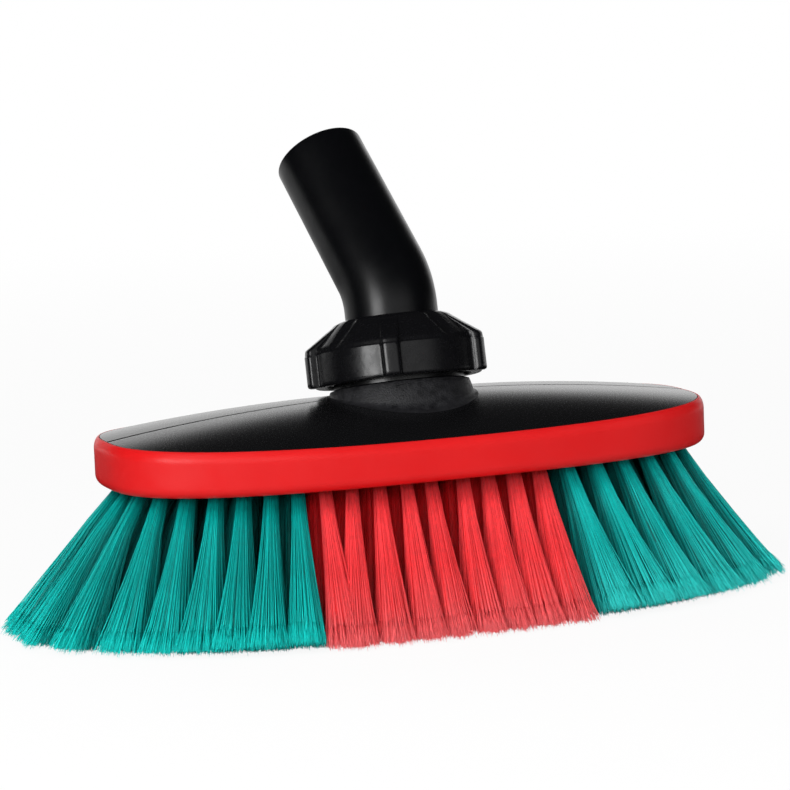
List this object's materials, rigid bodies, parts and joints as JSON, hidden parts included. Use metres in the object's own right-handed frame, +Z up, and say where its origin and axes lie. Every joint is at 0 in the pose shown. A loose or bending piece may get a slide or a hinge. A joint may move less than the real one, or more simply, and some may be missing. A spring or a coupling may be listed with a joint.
{
  "type": "vehicle wash brush head",
  "caption": "Oval water-fed wash brush head with flared soft bristles, a soft bumper and a slanted threaded stub whose union nut clamps a bent, swivelling handle neck.",
  "frame": {"origin": "middle of the head, on the plane of the bristle tips that it rests on", "axes": "+X along the head, +Y across it towards the side that the stub leans to, +Z up from the bristle tips to the cover"},
  "size_m": [0.3144, 0.1582, 0.1795],
  "materials": {
    "cover_plastic": "moulded black plastic, satin",
    "plate_plastic": "moulded black plastic, matte",
    "bumper_rubber": "soft red elastomer, satin",
    "seal_rubber": "black rubber",
    "screw_steel": "stainless steel",
    "green_fibre": "teal green synthetic filaments, flagged tips",
    "red_fibre": "red synthetic filaments, flagged tips",
    "nut_plastic": "moulded black plastic, semi-gloss",
    "slip_nylon": "natural nylon",
    "neck_plastic": "moulded black plastic, semi-gloss"
  },
  "bodies": {
    "head": {"cover": "cover_plastic", "base_plate": "plate_plastic", "bumper": "bumper_rubber", "cover_gasket": "seal_rubber", "plate_screw_1": "screw_steel", "plate_screw_2": "screw_steel", "plate_screw_3": "screw_steel", "plate_screw_4": "screw_steel", "plate_screw_5": "screw_steel", "plate_screw_6": "screw_steel", "plate_screw_7": "screw_steel", "plate_screw_8": "screw_steel", "bristles_left": "green_fibre", "bristles_centre": "red_fibre", "bristles_right": "green_fibre"},
    "neck": {"neck": "neck_plastic", "neck_o_ring_1": "seal_rubber", "neck_o_ring_2": "seal_rubber", "handle_seal": "seal_rubber"},
    "slip": {"slip_ring": "slip_nylon"},
    "nut": {"lock_nut": "nut_plastic"}
  },
  "joints": [
    {"name": "neck_swivel", "type": "hinge", "parent": "head", "child": "neck", "pos_m": [0, 0, 0.069], "axis": [0, 0.2079, 0.9781], "continuous": true},
    {"name": "nut_lift", "type": "slide", "parent": "head", "child": "slip", "axis": [0, 0.2079, 0.9781], "range_m": [0, 0.006]},
    {"name": "nut_turn", "type": "hinge", "parent": "slip", "child": "nut", "pos_m": [0, 0, 0.069], "axis": [0, 0.2079, 0.9781], "range_deg": [0, 430]}
  ],
  "couplings": [
    {"joint": "nut_lift", "follows": "nut_turn", "m_per_rad": 0.00079577}
  ]
}
